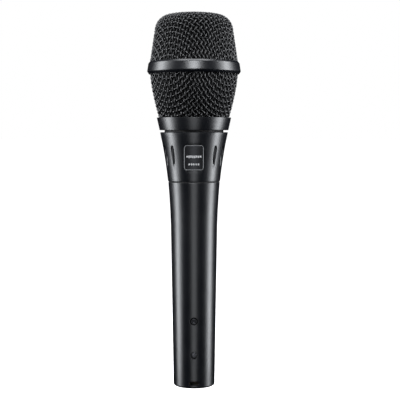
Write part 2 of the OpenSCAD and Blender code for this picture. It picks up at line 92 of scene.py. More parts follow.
# The nameplate's recess, with a deeper groove left round the plate
PLATE_CORNER = 1.0 * MM
PLATE_RECESS = 0.5 * MM
RECESS_MARGIN = 0.55 * MM
GROOVE_DEPTH = 1.3 * MM
PLATE_SINK = 0.16 * MM              # of the plate's face, below the collar's flank
BORDER_SINK = 0.06 * MM
BORDER_WIDTH = 0.4 * MM
MARK_SINK = 0.08 * MM               # of a raised mark's face and of its foot
MARK_FOOT = 0.3 * MM
CUT_REACH = 1.5 * MM                # how far a cutter reaches past what it cuts
CORE_REACH = 2 * MM                 # and what is taken out of a cutter

# The collar's bore: narrow up to the first height and wide from the second. Heights in the
# collar are from its lower end
BORE_HEIGHTS = (5.95 * MM, 13.45 * MM)

# The collar's ports: places round the axis, and the slits through the wall
PORT_COUNT = 12
PORT_FIRST = math.radians(43.6)
PORT_R = 1.15 * MM
PORT_AXIS_R = 15.95 * MM
PORT_TOP = 27.15 * MM
PORT_SIDES = 40
SLIT_WIDTH = 1.0 * MM
SLIT_RADII = (11 * MM, 15.5 * MM)
SLIT_HEIGHTS = (17.55 * MM, 25.35 * MM)

# The handle: its rounded tail, its threaded mouth, and the openings in its front
TAIL_ROUND = 0.95 * MM
MOUTH_DEPTH = 8 * MM
MOUTH_STEP = 0.6 * MM
SCREW_RECESS_R = 2.3 * MM
SCREW_HOLE_R = 1.1 * MM
LOCK_HOLE_R = 1.85 * MM
LATCH_HALF_WIDTH = 2.6 * MM
LATCH_HEIGHTS = (1.7 * MM, 3.9 * MM)
OPENING_FRONT = -20 * MM            # y at which the cutters start and end
OPENING_BACK = -8 * MM


# ---- the frame's own sizes --------------------------------------------------

def cad_vertices(node):
    """Every vertex of a CAD node, as an array."""
    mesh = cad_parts[node].data
    points = np.empty(len(mesh.vertices) * 3)
    mesh.vertices.foreach_get("co", points)
    return points.reshape(-1, 3)


def radii(node):
    """Distance of each vertex of a node from the axis, and its height."""
    points = cad_vertices(node)
    return np.hypot(points[:, 0], points[:, 1]), points[:, 2]


def outline(node, fewest=24, dip=0.1 * MM):
    """The node's outer radius at each height that carries a whole ring of vertices.

    Rings of inner features lie inside the line between their neighbours, and are left out.
    """
    r, z = radii(node)
    levels = {}
    for radius, height in zip(r, np.round(z, 6)):
        levels.setdefault(float(height), []).append(float(radius))
    points = [(max(found), height) for height, found in sorted(levels.items())
              if len(found) >= fewest]
    while len(points) > 2:
        depths = [inside(*trio) for trio in zip(points, points[1:], points[2:])]
        deepest = max(depths)
        if deepest < dip:
            break
        del points[depths.index(deepest) + 1]
    return points


def inside(below, at, above):
    """How far a point of an outline lies inside the line between its neighbours."""
    share = (at[1] - below[1]) / (above[1] - below[1])
    return below[0] + (above[0] - below[0]) * share - at[0]


def flank(node, z0, z1, degree=2, windows=8, count=14):
    """A smooth outline fitted to a node's outermost vertices between two heights."""
    r, z = radii(node)
    edges = np.linspace(z0, z1, windows + 1)
    found_r, found_z = [], []
    for below, above in zip(edges, edges[1:]):
        inner = np.flatnonzero((z > below - 1e-6) & (z < above + 1e-6))
        outermost = inner[np.argmax(r[inner])]
        found_r.append(r[outermost])
        found_z.append(z[outermost])
    fit = np.polyfit(np.array(found_z) - z0, found_r, degree)
    return [(float(np.polyval(fit, height - z0)), float(height))
            for height in np.linspace(z0, z1, count)]


def low(node):
    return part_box(node)[0]


def high(node):
    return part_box(node)[1]


# ---- outlines ---------------------------------------------------------------

def fillet(points, radius, steps=4):
    """An open outline with each inner corner rounded to radius, or less where it is short."""
    out = [points[0]]
    for before, at, after in zip(points, points[1:], points[2:]):
        a = Vector(before) - Vector(at)
        b = Vector(after) - Vector(at)
        reach = min(radius, a.length * 0.45, b.length * 0.45)
        start = Vector(at) + a.normalized() * reach
        end = Vector(at) + b.normalized() * reach
        for i in range(steps + 1):
            t = i / steps
            out.append(tuple((1 - t) ** 2 * start + 2 * t * (1 - t) * Vector(at) + t * t * end))
    out.append(points[-1])
    return out


def smooth_curve(points, per_span=4):
    """A Catmull-Rom curve through the points of an outline."""
    p = [Vector(q) for q in points]
    p = [2 * p[0] - p[1], *p, 2 * p[-1] - p[-2]]
    out = []
    for i in range(1, len(p) - 2):
        for k in range(per_span):
            t = k / per_span
            out.append(tuple(0.5 * (2 * p[i] + (p[i + 1] - p[i - 1]) * t
                                    + (2 * p[i - 1] - 5 * p[i] + 4 * p[i + 1] - p[i + 2]) * t ** 2
                                    + (3 * p[i] - p[i - 1] - 3 * p[i + 1] + p[i + 2]) * t ** 3)))
    out.append(tuple(p[-2]))
    return out


# ---- meshes -----------------------------------------------------------------

def new_piece(name, verts, faces):
    mesh = bpy.data.meshes.new(name)
    mesh.from_pydata([tuple(v) for v in verts], [], faces)
    mesh.validate()
    mesh.update()
    obj = bpy.data.objects.new(name, mesh)
    bpy.context.scene.collection.objects.link(obj)
    return obj


def shade(obj):
    """Smooth shading, with edges sharper than SMOOTH_ANGLE kept sharp."""
    obj.data.shade_smooth()
    obj.data.set_sharp_from_angle(angle=SMOOTH_ANGLE)


def lathe(name, points, sides=LATHE_SIDES):
    """Turn a closed outline of (radius, height) about the axis."""
    n = len(points)
    on_axis = [abs(r) < 1e-7 for r, _ in points]
    verts, index = [], {}
    for i, (r, z) in enumerate(points):
        if on_axis[i]:
            index[i] = [len(verts)] * sides
            verts.append((0, 0, z))
            continue
        index[i] = list(range(len(verts), len(verts) + sides))
        for k in range(sides):
            a = 2 * math.pi * k / sides
            verts.append((r * math.cos(a), r * math.sin(a), z))
    faces = []
    for i in range(n):
        j = (i + 1) % n
        if on_axis[i] and on_axis[j]:
            continue
        for k in range(sides):
            m = (k + 1) % sides
            corners = [index[i][k], index[i][m], index[j][m], index[j][k]]
            faces.append(list(dict.fromkeys(corners)))
    obj = new_piece(name, verts, faces)
    face_outwards(obj)
    return obj


def face_outwards(obj):
    """Turn every face of a closed mesh outwards."""
    bm = bmesh.new()
    bm.from_mesh(obj.data)
    bmesh.ops.recalc_face_normals(bm, faces=bm.faces)
    bm.to_mesh(obj.data)
    bm.free()


def apply_modifiers(obj):
    graph = bpy.context.evaluated_depsgraph_get()
    graph.update()
    mesh = bpy.data.meshes.new_from_object(obj.evaluated_get(graph))
    obj.modifiers.clear()
    obj.data = mesh


def cut(obj, *cutters):
    """Take each cutter away from obj, one after another."""
    for cutter in cutters:
        bool_mod = obj.modifiers.new("cut", "BOOLEAN")
        bool_mod.operation = "DIFFERENCE"
        bool_mod.solver = "EXACT"
        bool_mod.object = cutter
        apply_modifiers(obj)
        bpy.data.objects.remove(cutter)


def bevel(obj, width, angle=BEVEL_ANGLE):
    mod = obj.modifiers.new("bevel", "BEVEL")
    mod.width = width
    mod.segments = 2
    mod.limit_method = "ANGLE"
    mod.angle_limit = angle
    mod.harden_normals = False
    apply_modifiers(obj)


def join(name, *objs):
    """Several mesh objects as one."""
    bm = bmesh.new()
    for obj in objs:
        mesh = obj.data
        mesh.transform(obj.matrix_world)
        bm.from_mesh(mesh)
        bpy.data.objects.remove(obj)
    mesh = bpy.data.meshes.new(name)
    bm.to_mesh(mesh)
    bm.free()
    obj = bpy.data.objects.new(name, mesh)
    bpy.context.scene.collection.objects.link(obj)
    return obj


def rod(name, r, start, end, sides=ROD_SIDES):
    """Round bar between two points."""
    start, end = Vector(start), Vector(end)
    along = (end - start).normalized()
    turn = along.to_track_quat("Z", "Y").to_matrix()
    verts = []
    for point in (start, end):
        for k in range(sides):
            a = 2 * math.pi * k / sides
            verts.append(point + turn @ Vector((r * math.cos(a), r * math.sin(a), 0)))
    faces = [[k, (k + 1) % sides, sides + (k + 1) % sides, sides + k] for k in range(sides)]
    faces += [list(range(sides))[::-1], list(range(sides, 2 * sides))]
    return new_piece(name, verts, faces)


def block(name, lo, hi, turn=None, about=(0, 0, 0)):
    """Box between two corners, turned about a point if asked."""
    x, y, z = zip(lo, hi)
    verts = [Vector((x[i], y[j], z[k])) for i in (0, 1) for j in (0, 1) for k in (0, 1)]
    if turn is not None:
        verts = [turn @ (v - Vector(about)) + Vector(about) for v in verts]
    faces = [[0, 1, 3, 2], [4, 6, 7, 5], [0, 4, 5, 1], [2, 3, 7, 6], [0, 2, 6, 4], [1, 5, 7, 3]]
    obj = new_piece(name, verts, faces)
    face_outwards(obj)
    return obj


def thread(name, r, z0, z1, outward):
    """A helical ridge of the thread's pitch, standing on a wall of radius r."""
    steps = int((z1 - z0) / THREAD_PITCH * THREAD_STEPS)
    way = 1 if outward else -1
    foot = r - way * THREAD_SINK
    verts, faces = [], []
    for i in range(steps + 1):
        a = 2 * math.pi * i / THREAD_STEPS
        z = z0 + THREAD_PITCH * i / THREAD_STEPS
        fade = min(1.0, i / THREAD_FADE, (steps - i) / THREAD_FADE)
        tip = r + way * THREAD_DEPTH * fade
        for radius, height in ((foot, -THREAD_ROOT), (tip, -THREAD_CREST),
                               (tip, THREAD_CREST), (foot, THREAD_ROOT)):
            verts.append((radius * math.cos(a), radius * math.sin(a), z + height))
    for i in range(steps):
        for k in range(4):
            m = (k + 1) % 4
            faces.append([4 * i + k, 4 * i + m, 4 * i + 4 + m, 4 * i + 4 + k])
    faces += [[3, 2, 1, 0], [4 * steps + k for k in range(4)]]
    obj = new_piece(name, verts, faces)
    face_outwards(obj)
    return obj


def softened(node, width):
    """A copy of a CAD node with its sharp edges rounded."""
    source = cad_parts[node]
    obj = bpy.data.objects.new(node + "_soft", source.data.copy())
    obj.data.materials.clear()
    bpy.context.scene.collection.objects.link(obj)
    bm = bmesh.new()
    bm.from_mesh(obj.data)
    bmesh.ops.remove_doubles(bm, verts=bm.verts, dist=1e-6)
    bmesh.ops.dissolve_limit(bm, angle_limit=math.radians(0.5), verts=bm.verts, edges=bm.edges)
    bm.to_mesh(obj.data)
    bm.free()
    bevel(obj, width)
    shade(obj)
    return obj


# ---- materials --------------------------------------------------------------

BAND_SPACING = 0.314        # from band to band of a wave texture whose scale is 1


class Look:
    """A principled material with a few procedural layers on it."""

    def __init__(self, name, color, rough, metallic=0.0, **sockets):
        self.material = bpy.data.materials.new(name)
        self.material.use_nodes = True
        self.tree = self.material.node_tree
        self.shader = self.tree.nodes["Principled BSDF"]
        self.color = (*color, 1)
        self.set("Base Color", self.color)
        self.set("Roughness", rough)
        self.set("Metallic", metallic)
        for socket, value in sockets.items():
            self.set(socket.replace("_", " ").title().replace("Ior", "IOR"), value)
        self.place = self.node("ShaderNodeTexCoord").outputs["Object"]
        self.normal = None

    def set(self, socket, value):
        self.shader.inputs[socket].default_value = value

    def node(self, kind, **values):
        made = self.tree.nodes.new(kind)
        for key, value in values.items():
            setattr(made, key, value)
        return made

    def link(self, a, b):
        self.tree.links.new(a, b)

    def scaled(self, scale):
        """Object coordinates stretched by a factor for each axis."""
        mapping = self.node("ShaderNodeMapping")
        mapping.inputs["Scale"].default_value = scale
        self.link(self.place, mapping.inputs["Vector"])
        return mapping.outputs["Vector"]

    def noise(self, size, detail=2.0, stretch=(1, 1, 1)):
        """Noise whose features are about size metres across."""
        made = self.node("ShaderNodeTexNoise")
        made.inputs["Scale"].default_value = 1 / size
        made.inputs["Detail"].default_value = detail
        self.link(self.scaled(stretch), made.inputs["Vector"])
        return made.outputs["Fac"]

    def cells(self, size, feature="F1", stretch=(1, 1, 1)):
        made = self.node("ShaderNodeTexVoronoi", feature=feature)
        made.inputs["Scale"].default_value = 1 / size
        self.link(self.scaled(stretch), made.inputs["Vector"])
        return made.outputs["Distance"]

    def waves(self, size, direction):
        """Straight bands, size metres from one to the next."""
        made = self.node("ShaderNodeTexWave", bands_direction=direction)
        made.inputs["Scale"].default_value = BAND_SPACING / size
        self.link(self.place, made.inputs["Vector"])
        return made.outputs["Fac"]

    def spread(self, value, low_out, high_out, low_in=0.3, high_in=0.7):
        """A pattern's values between two inputs, stretched to lie between two outputs."""
        made = self.node("ShaderNodeMapRange")
        made.inputs["From Min"].default_value = low_in
        made.inputs["From Max"].default_value = high_in
        made.inputs["To Min"].default_value = low_out
        made.inputs["To Max"].default_value = high_out
        self.link(value, made.inputs["Value"])
        return made.outputs["Result"]

    def tint(self, value, other, amount=1.0):
        """Mix the base colour towards another colour by a pattern."""
        mix = self.node("ShaderNodeMix", data_type="RGBA")
        mix.inputs["A"].default_value = self.color
        mix.inputs["B"].default_value = (*other, 1)
        self.link(self.spread(value, 0, amount), mix.inputs["Factor"])
        self.link(mix.outputs["Result"], self.shader.inputs["Base Color"])
        return self

    def tint_again(self, value, other, low_in=0.45, high_in=0.55):
        """Lay one more colour over what already feeds the base colour."""
        socket = self.shader.inputs["Base Color"]
        before = socket.links[0].from_socket
        mix = self.node("ShaderNodeMix", data_type="RGBA")
        mix.inputs["B"].default_value = (*other, 1)
        self.link(before, mix.inputs["A"])
        self.link(self.spread(value, 0, 1, low_in, high_in), mix.inputs["Factor"])
        self.link(mix.outputs["Result"], socket)
        return self

    def rough(self, value, lowest, highest):
        self.link(self.spread(value, lowest, highest), self.shader.inputs["Roughness"])
        return self

    def bump(self, value, height, strength=1.0):
        """Add relief; further calls add to what is there."""
        made = self.node("ShaderNodeBump")
        made.inputs["Strength"].default_value = strength
        made.inputs["Distance"].default_value = height
        self.link(value, made.inputs["Height"])
        if self.normal:
            self.link(self.normal, made.inputs["Normal"])
        self.normal = made.outputs["Normal"]
        self.link(self.normal, self.shader.inputs["Normal"])
        return self


def enamel(name, color, flake):
    """Satin black enamel with a fine flake in it."""
    look = Look(name, color, 0.32, ior=1.75)
    look.tint(look.cells(0.12 * MM), flake, 0.5)
    look.rough(look.noise(9 * MM, 3), 0.3, 0.34)
    look.bump(look.noise(0.5 * MM, 1), 0.002 * MM)
    return look.material


def wire_coat():
    """Black coat, polished on the crests of the weave and dull down in its troughs."""
    look = Look("wire_coat", (0.002, 0.0022, 0.003), 0.24, ior=1.66)
    look.tint(look.noise(1.5 * MM, 3), (0.004, 0.0042, 0.0055), 0.8)
    crest = look.node("ShaderNodeAttribute", attribute_name="crest").outputs["Fac"]
    look.link(look.spread(crest, 0.95, 0.18, 0.4, 0.95), look.shader.inputs["Roughness"])
    look.bump(look.noise(0.12 * MM, 2), 0.004 * MM)
    return look.material


def turned_metal(name, color, rough=0.32, grain_size=0.2 * MM):
    look = Look(name, color, rough, 1.0)
    grain = look.noise(grain_size, 2, (0.1, 0.1, 1.6))
    look.tint(grain, tuple(c * 0.8 for c in color), 0.7)
    look.rough(look.noise(1.5 * MM, 3), rough - 0.06, rough + 0.08)
    look.bump(grain, 0.004 * MM)
    return look.material


def moulded(name, color, rough=0.5, grain=0.15 * MM):
    look = Look(name, color, rough)
    look.tint(look.noise(6 * MM, 3), tuple(c * 0.7 for c in color), 0.6)
    look.rough(look.noise(2 * MM, 2), rough - 0.08, rough + 0.08)
    look.bump(look.noise(grain, 2), 0.01 * MM)
    return look.material


def rubber():
    look = Look("rubber", (0.022, 0.022, 0.023), 0.6)
    look.tint(look.noise(3 * MM, 3), (0.035, 0.035, 0.035), 0.7)
    look.rough(look.noise(1 * MM, 2), 0.52, 0.7)
    look.bump(look.noise(0.1 * MM, 2), 0.012 * MM)
    return look.material


def plated():
    look = Look("plated", (0.8, 0.58, 0.26), 0.22, 1.0)
    look.tint(look.noise(2 * MM, 3), (0.62, 0.42, 0.18), 0.6)
    look.rough(look.noise(0.6 * MM, 2), 0.16, 0.3)
    look.bump(look.noise(0.2 * MM, 2), 0.002 * MM)
    return look.material


def solder_mask():
    """Green board with the faint relief and paler lines of its copper tracks."""
    look = Look("solder_mask", (0.006, 0.06, 0.028), 0.32)
    tracks = look.cells(2.4 * MM, "DISTANCE_TO_EDGE", (1, 1, 0.45))
    look.tint(look.noise(8 * MM, 2), (0.01, 0.09, 0.04), 0.8)
    look.tint_again(tracks, (0.02, 0.16, 0.07), 0.12, 0.05)
    look.bump(tracks, 0.02 * MM, 0.4)
    return look.material


def foam():
    look = Look("foam", (0.003, 0.003, 0.0032), 0.95, ior=1.2)
    look.tint(look.cells(0.5 * MM), (0.007, 0.007, 0.0075), 0.8)
    look.bump(look.cells(0.35 * MM), 0.12 * MM)
    return look.material


def cloth(name, color, thread_size=0.22 * MM):
    look = Look(name, color, 0.85, sheen_weight=0.2)
    across = look.waves(thread_size, "X")
    along = look.waves(thread_size, "Z")
    look.tint(across, tuple(c * 2.2 for c in color), 0.6)
    look.bump(across, 0.03 * MM, 0.6)
    look.bump(along, 0.03 * MM, 0.6)
    return look.material


def can_sleeve():
    """Capacitor sleeve with a pale stripe down one side."""
    look = Look("can_sleeve", (0.012, 0.016, 0.06), 0.3)
    look.tint(look.noise(2 * MM, 2), (0.02, 0.026, 0.09), 0.7)
    look.tint_again(look.waves(4.6 * MM, "X"), (0.5, 0.5, 0.52), 0.93, 0.98)
    look.bump(look.noise(0.4 * MM, 1), 0.006 * MM)
    return look.material


def resistor_coat():
    """Tan coat with coloured bands round it."""
    look = Look("resistor_coat", (0.55, 0.4, 0.2), 0.35)
    look.tint(look.noise(1 * MM, 2), (0.42, 0.3, 0.15), 0.5)
    look.tint_again(look.waves(1.25 * MM, "Z"), (0.25, 0.03, 0.02), 0.75, 0.8)
    look.bump(look.noise(0.3 * MM, 1), 0.006 * MM)
    return look.material


def plate_face():
    """Dark nameplate with a fine upright grain."""
    look = Look("plate_face", (0.045, 0.046, 0.05), 0.36, 0.8)
    grain = look.noise(0.12 * MM, 2, (1.5, 1, 0.06))
    look.tint(grain, (0.07, 0.071, 0.076), 0.8)
    look.rough(grain, 0.3, 0.45)
    look.bump(grain, 0.004 * MM)
    return look.material


def print_ink(name, color):
    look = Look(name, color, 0.45)
    look.tint(look.noise(0.4 * MM, 2), tuple(c * 0.8 for c in color), 0.5)
    look.bump(look.noise(0.15 * MM, 1), 0.003 * MM)
    return look.material


PAINT = enamel("handle_enamel", (0.002, 0.0028, 0.005), (0.005, 0.006, 0.009))
RING_PAINT = enamel("ring_enamel", (0.002, 0.0027, 0.0048), (0.0045, 0.0055, 0.0085))
BAND_PAINT = enamel("band_enamel", (0.002, 0.0028, 0.005), (0.005, 0.006, 0.009))
WIRE = wire_coat()
RUBBER = rubber()
SCREW = turned_metal("blackened_steel", (0.05, 0.051, 0.055), 0.34, 0.1 * MM)
# The set screw's steel is lighter than the cross-head screw's: painted light on its face down in
# the shaded hole
SLOTTED = turned_metal("painted_light_black_steel", (0.11, 0.112, 0.12), 0.36, 0.1 * MM)
WASHER = turned_metal("blackened_washer", (0.006, 0.006, 0.007), 0.5, 0.1 * MM)
SPRING_STEEL = turned_metal("spring_steel", (0.35, 0.35, 0.36), 0.3, 0.1 * MM)
ALLOY = turned_metal("alloy", (0.6, 0.61, 0.63))
BRASS = turned_metal("brass", (0.62, 0.46, 0.2))
GOLD = plated()
INSERT = moulded("insert_plastic", (0.03, 0.03, 0.032))
SLED = moulded("sled_plastic", (0.06, 0.06, 0.065))
PALE = moulded("pale_insulator", (0.62, 0.61, 0.56), 0.42)
BOARD = solder_mask()
SLEEVE = can_sleeve()
EPOXY = moulded("epoxy", (0.02, 0.02, 0.021), 0.55, 0.08 * MM)
RESISTOR = resistor_coat()
LEAD_RED = moulded("lead_red", (0.4, 0.03, 0.02), 0.4, 0.3 * MM)
LEAD_BLUE = moulded("lead_blue", (0.03, 0.07, 0.34), 0.4, 0.3 * MM)
LEAD_GREY = moulded("lead_grey", (0.42, 0.4, 0.34), 0.4, 0.3 * MM)
FILM = turned_metal("metallised_film", (0.75, 0.7, 0.5), 0.2)
FOAM = foam()
CLOTH = cloth("acoustic_cloth", (0.018, 0.018, 0.019))
PLATE = plate_face()
BORDER = print_ink("plate_border", (0.27, 0.275, 0.285))
MARK = print_ink("plate_mark", (0.75, 0.75, 0.76))


def finish_piece(obj, body, slot, material, *nodes, smooth=True):
    """Material, shading, body, and the CAD nodes that the piece stands for; slot is not used."""
    if smooth:
        shade(obj)
    obj.data.materials.clear()
    obj.data.materials.append(material)
    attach(obj, body)
    if nodes:
        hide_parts(*nodes)


# ---- grille -----------------------------------------------------------------

def drawn_surface(points, rho_start):
    """Map a flat disc onto a surface of revolution as deep drawing does, keeping area.

    points is the outline (radius, height) from the disc's middle outwards. Returns a
    function from flat radius to (radius, height, normal) and the flat radius at the rim.
    """
    p = np.array(points)
    step = np.hypot(*np.diff(p, axis=0).T)
    s = np.concatenate([[0], np.cumsum(step)])
    ring = (p[1:, 0] + p[:-1, 0]) / 2 * step
    rho = np.sqrt(rho_start ** 2 + 2 * np.concatenate([[0], np.cumsum(ring)]))
    slope_r = np.gradient(p[:, 0], s)
    slope_z = np.gradient(p[:, 1], s)

    def place(flat):
        r = np.interp(flat, rho, p[:, 0])
        z = np.interp(flat, rho, p[:, 1])
        tr = np.interp(flat, rho, slope_r)
        tz = np.interp(flat, rho, slope_z)
        length = np.hypot(tr, tz)
        return r, z, -tz / length, tr / length

    return place, rho[-1]


def inset_outline(points, inset):
    """An outline moved inwards along its own normal."""
    p = np.array(points)
    t = np.gradient(p, axis=0)
    t /= np.linalg.norm(t, axis=1)[:, None]
    normal = np.stack([-t[:, 1], t[:, 0]], axis=1)
    if normal[len(p) // 2, 0] < 0:
        normal = -normal
    moved = p - normal * inset
    moved[:, 0] = np.maximum(moved[:, 0], 0)
    return moved


def woven_mesh(name, points, rho_start, turn, seed, outer_sign):
    """Plain-woven round wire drawn over a surface of revolution.

    outer_sign is 1 for an outline that runs outwards from the axis, and -1 for one that
    runs up. The crests' height is kept as an attribute, for the wire's polish.
    """
    place, rim = drawn_surface(points, rho_start)
    rng = np.random.default_rng(seed)
    count = int(rim / WIRE_PITCH)
    verts, faces, crests = [], [], []
    angles = np.linspace(0, 2 * math.pi, WIRE_SIDES, endpoint=False)
    for family in (0, 1):
        for i in range(-count, count + 1):
            offset = i * WIRE_PITCH + rng.normal(0, WIRE_JITTER)
            phase = rng.uniform(-PHASE_JITTER, PHASE_JITTER)
            if abs(offset) >= rim:
                continue
            half = math.sqrt(rim ** 2 - offset ** 2)
            inner = rho_start ** 2 - offset ** 2
            spans = [(-half, half)]
            if inner > 0:
                spans = [(-half, -math.sqrt(inner)), (math.sqrt(inner), half)]
            for a, b in spans:
                n = max(4, int((b - a) / WIRE_STEP))
                run = np.linspace(a, b, n)
                u, v = (np.full(n, offset), run) if family == 0 else (run, np.full(n, offset))
                flat = np.clip(np.hypot(u, v), rho_start, rim)
                theta = np.arctan2(v, u) + turn
                r, z, nr, nz = place(flat)
                nr, nz = nr * outer_sign, nz * outer_sign
                wave = np.cos(math.pi * (run / WIRE_PITCH + i) + phase)
                wave = wave if family == 0 else -wave
                crests.extend(np.repeat((1 + wave) / 2, WIRE_SIDES).tolist())
                normal = np.stack([nr * np.cos(theta), nr * np.sin(theta), nz], axis=1)
                centre = np.stack([r * np.cos(theta), r * np.sin(theta), z], axis=1)
                centre = centre + normal * (WIRE_LIFT * wave)[:, None]
                along = np.gradient(centre, axis=0)
                along /= np.linalg.norm(along, axis=1)[:, None]
                side = np.cross(along, normal)
                side /= np.linalg.norm(side, axis=1)[:, None]
                up = np.cross(side, along)
                base = len(verts)
                ring = (centre[:, None, :]
                        + WIRE_R * (np.cos(angles)[None, :, None] * side[:, None, :]
                                    + np.sin(angles)[None, :, None] * up[:, None, :]))
                verts.extend(ring.reshape(-1, 3).tolist())
                for k in range(n - 1):
                    for m in range(WIRE_SIDES):
                        q = (m + 1) % WIRE_SIDES
                        start = base + k * WIRE_SIDES
                        faces.append([start + m, start + q,
                                      start + WIRE_SIDES + q, start + WIRE_SIDES + m])
                faces.append([base + m for m in range(WIRE_SIDES)][::-1])
                last = base + (n - 1) * WIRE_SIDES
                faces.append([last + m for m in range(WIRE_SIDES)])
    obj = new_piece(name, verts, faces)
    obj.data.attributes.new("crest", "FLOAT", "POINT").data.foreach_set("value", crests)
    obj.data.shade_smooth()
    return obj


def foam_liner(name, node, seed):
    """The CAD liner's shape with an uneven open-cell surface."""
    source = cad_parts[node]
    obj = bpy.data.objects.new(name, source.data.copy())
    bpy.context.scene.collection.objects.link(obj)
    remesh = obj.modifiers.new("even", "REMESH")
    remesh.mode = "VOXEL"
    remesh.voxel_size = FOAM_GRID
    apply_modifiers(obj)
    mesh = obj.data
    count = len(mesh.vertices)
    points = np.empty(count * 3)
    normals = np.empty(count * 3)
    mesh.vertices.foreach_get("co", points)
    mesh.vertices.foreach_get("normal", normals)
    depth = np.random.default_rng(seed).uniform(0, FOAM_PITS, count)
    points = points.reshape(-1, 3) - normals.reshape(-1, 3) * depth[:, None]
    mesh.vertices.foreach_set("co", points.ravel())
    mesh.update()
    return obj


def make_grille():
    band_lo, band_hi = low("band").z, high("band").z
    upper = [p for p in outline("upper_mesh") if p[1] > band_hi]
    top = (0.0, high("upper_mesh").z)
    start = (upper[0][0] + (upper[0][0] - upper[1][0]) * 0.3, low("upper_mesh").z)
    dome = smooth_curve([start, *upper, top], 6)[::-1]
    dome_mid = inset_outline(dome, WEAVE_DEPTH)
    dome_mid[0, 0] = 0
    weave = woven_mesh("upper_weave", dome_mid, 0.0, UPPER_TURN, 11, 1)
    finish_piece(weave, "grille", "mesh_black", WIRE, "upper_mesh", smooth=False)

    lower = smooth_curve(outline("lower_mesh"), 4)
    lower_mid = inset_outline(lower, WEAVE_DEPTH)
    weave = woven_mesh("lower_weave", lower_mid, float(lower_mid[0, 0]), LOWER_TURN, 12, -1)
    finish_piece(weave, "grille", "mesh_black", WIRE, "lower_mesh", smooth=False)

    for name, node, seed in (("upper_liner", "upper_foam", 3), ("lower_liner", "lower_foam", 4)):
        liner = foam_liner(name, node, seed)
        finish_piece(liner, "grille", "foam_black", FOAM, node)

    # A bevelled foot, a narrow land at full width, and a flank leaning in to the dome
    r_in = min(radii("band")[0])
    band_r = high("band").x
    height = band_hi - band_lo
    band = lathe("grille_band", fillet([
        (r_in, band_lo + height * 0.5), (r_in, band_lo),
        (r_in + 0.5 * MM, band_lo), (band_r, band_lo + 1.3 * MM), (band_r, band_lo + 1.65 * MM),
        (band_r - 0.6 * MM, band_hi - 1 * MM), (band_r - 1.05 * MM, band_hi - 0.4 * MM),
        (r_in + 0.1 * MM, band_hi), (r_in, band_hi - 0.3 * MM), (r_in, band_lo + height * 0.5)],
        0.15 * MM)[:-1])
    finish_piece(band, "grille", "band_black", BAND_PAINT, "band")

    # A threaded bore, and above it the seat for the basket
    ring_lo, ring_hi = low("base_ring").z, high("base_ring").z
    ring_r = high("base_ring").x
    foot_r = outline("base_ring")[1][0]
    bore = min(radii("base_ring")[0]) + THREAD_DEPTH
    seat_z = low("lower_mesh").z
    seat_r = max(r for r, z in zip(*radii("base_ring")) if abs(z - seat_z) < 0.1 * MM)
    seat_top_r = min(r for r, z in zip(*radii("base_ring")) if abs(z - ring_hi) < 0.1 * MM)
    ring = lathe("threaded_base_ring", fillet([
        (bore, (ring_lo + seat_z) / 2), (bore, ring_lo), (foot_r - 0.15 * MM, ring_lo),
        (ring_r, ring_hi - 0.1 * MM), (ring_r - 0.3 * MM, ring_hi),
        (seat_top_r, ring_hi), (seat_r, seat_z), (bore, seat_z), (bore, (ring_lo + seat_z) / 2)],
        0.15 * MM)[:-1])
    finish_piece(ring, "grille", "ring_paint", RING_PAINT, "base_ring")
    inner_thread = thread("ring_thread", bore, ring_lo + 0.6 * MM, seat_z - 0.6 * MM, False)
    finish_piece(inner_thread, "grille", "ring_paint", RING_PAINT)


# ---- collar -----------------------------------------------------------------

def plate_outline(w, h, corner):
    """The outline of a plate with cut corners, as (x, z) about its middle."""
    return [(-w / 2, -h / 2 + corner), (-w / 2 + corner, -h / 2), (w / 2 - corner, -h / 2),
            (w / 2, -h / 2 + corner), (w / 2, h / 2 - corner), (w / 2 - corner, h / 2),
            (-w / 2 + corner, h / 2), (-w / 2, h / 2 - corner)]


